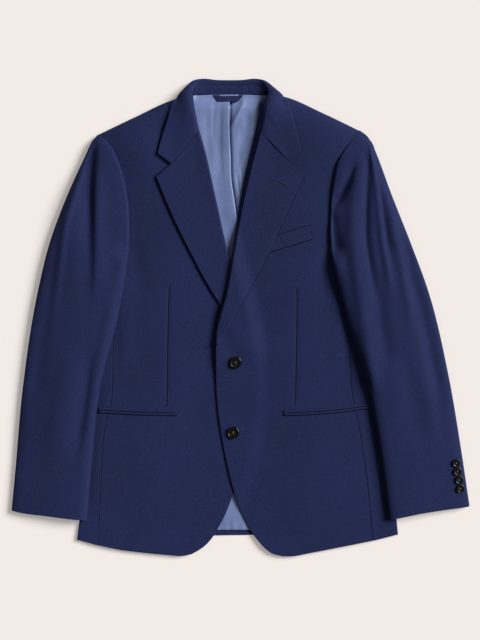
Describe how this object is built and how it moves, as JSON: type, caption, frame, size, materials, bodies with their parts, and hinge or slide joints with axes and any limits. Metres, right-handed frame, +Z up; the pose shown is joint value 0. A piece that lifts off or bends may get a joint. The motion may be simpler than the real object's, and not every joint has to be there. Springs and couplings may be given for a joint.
{
  "type": "single breasted blazer",
  "caption": "Single breasted blazer laid flat on its back, buttoned, with notched lapels, welt and jetted pockets and lined back.",
  "frame": {"origin": "centre of the bounding box's bottom face, on the surface that the garment lies on", "axes": "+Y towards the collar, +X towards the wearer's left sleeve, +Z up from the surface to the fronts"},
  "size_m": [0.7786, 0.8103, 0.0276],
  "materials": {
    "wool_navy": "matt worsted weave",
    "lining_blue": "satin lining",
    "button_horn": "polished dark horn look"
  },
  "bodies": {
    "root": {"back": "wool_navy", "back_lining": "lining_blue", "front_right": "wool_navy", "front_left": "wool_navy", "side_right": "wool_navy", "side_left": "wool_navy", "top_sleeve_right": "wool_navy", "top_sleeve_left": "wool_navy", "under_sleeve_right": "wool_navy", "under_sleeve_left": "wool_navy", "lapel_right": "wool_navy", "lapel_left": "wool_navy", "collar": "wool_navy", "collar_stand": "wool_navy", "neck_tab": "wool_navy", "hanger_loop": "wool_navy", "breast_welt": "wool_navy", "jet_right_upper": "wool_navy", "jet_right_lower": "wool_navy", "jet_left_upper": "wool_navy", "jet_left_lower": "wool_navy", "front_button_upper": "button_horn", "front_button_lower": "button_horn", "cuff_button_1": "button_horn", "cuff_button_2": "button_horn", "cuff_button_3": "button_horn", "cuff_button_4": "button_horn"}
  },
  "joints": []
}
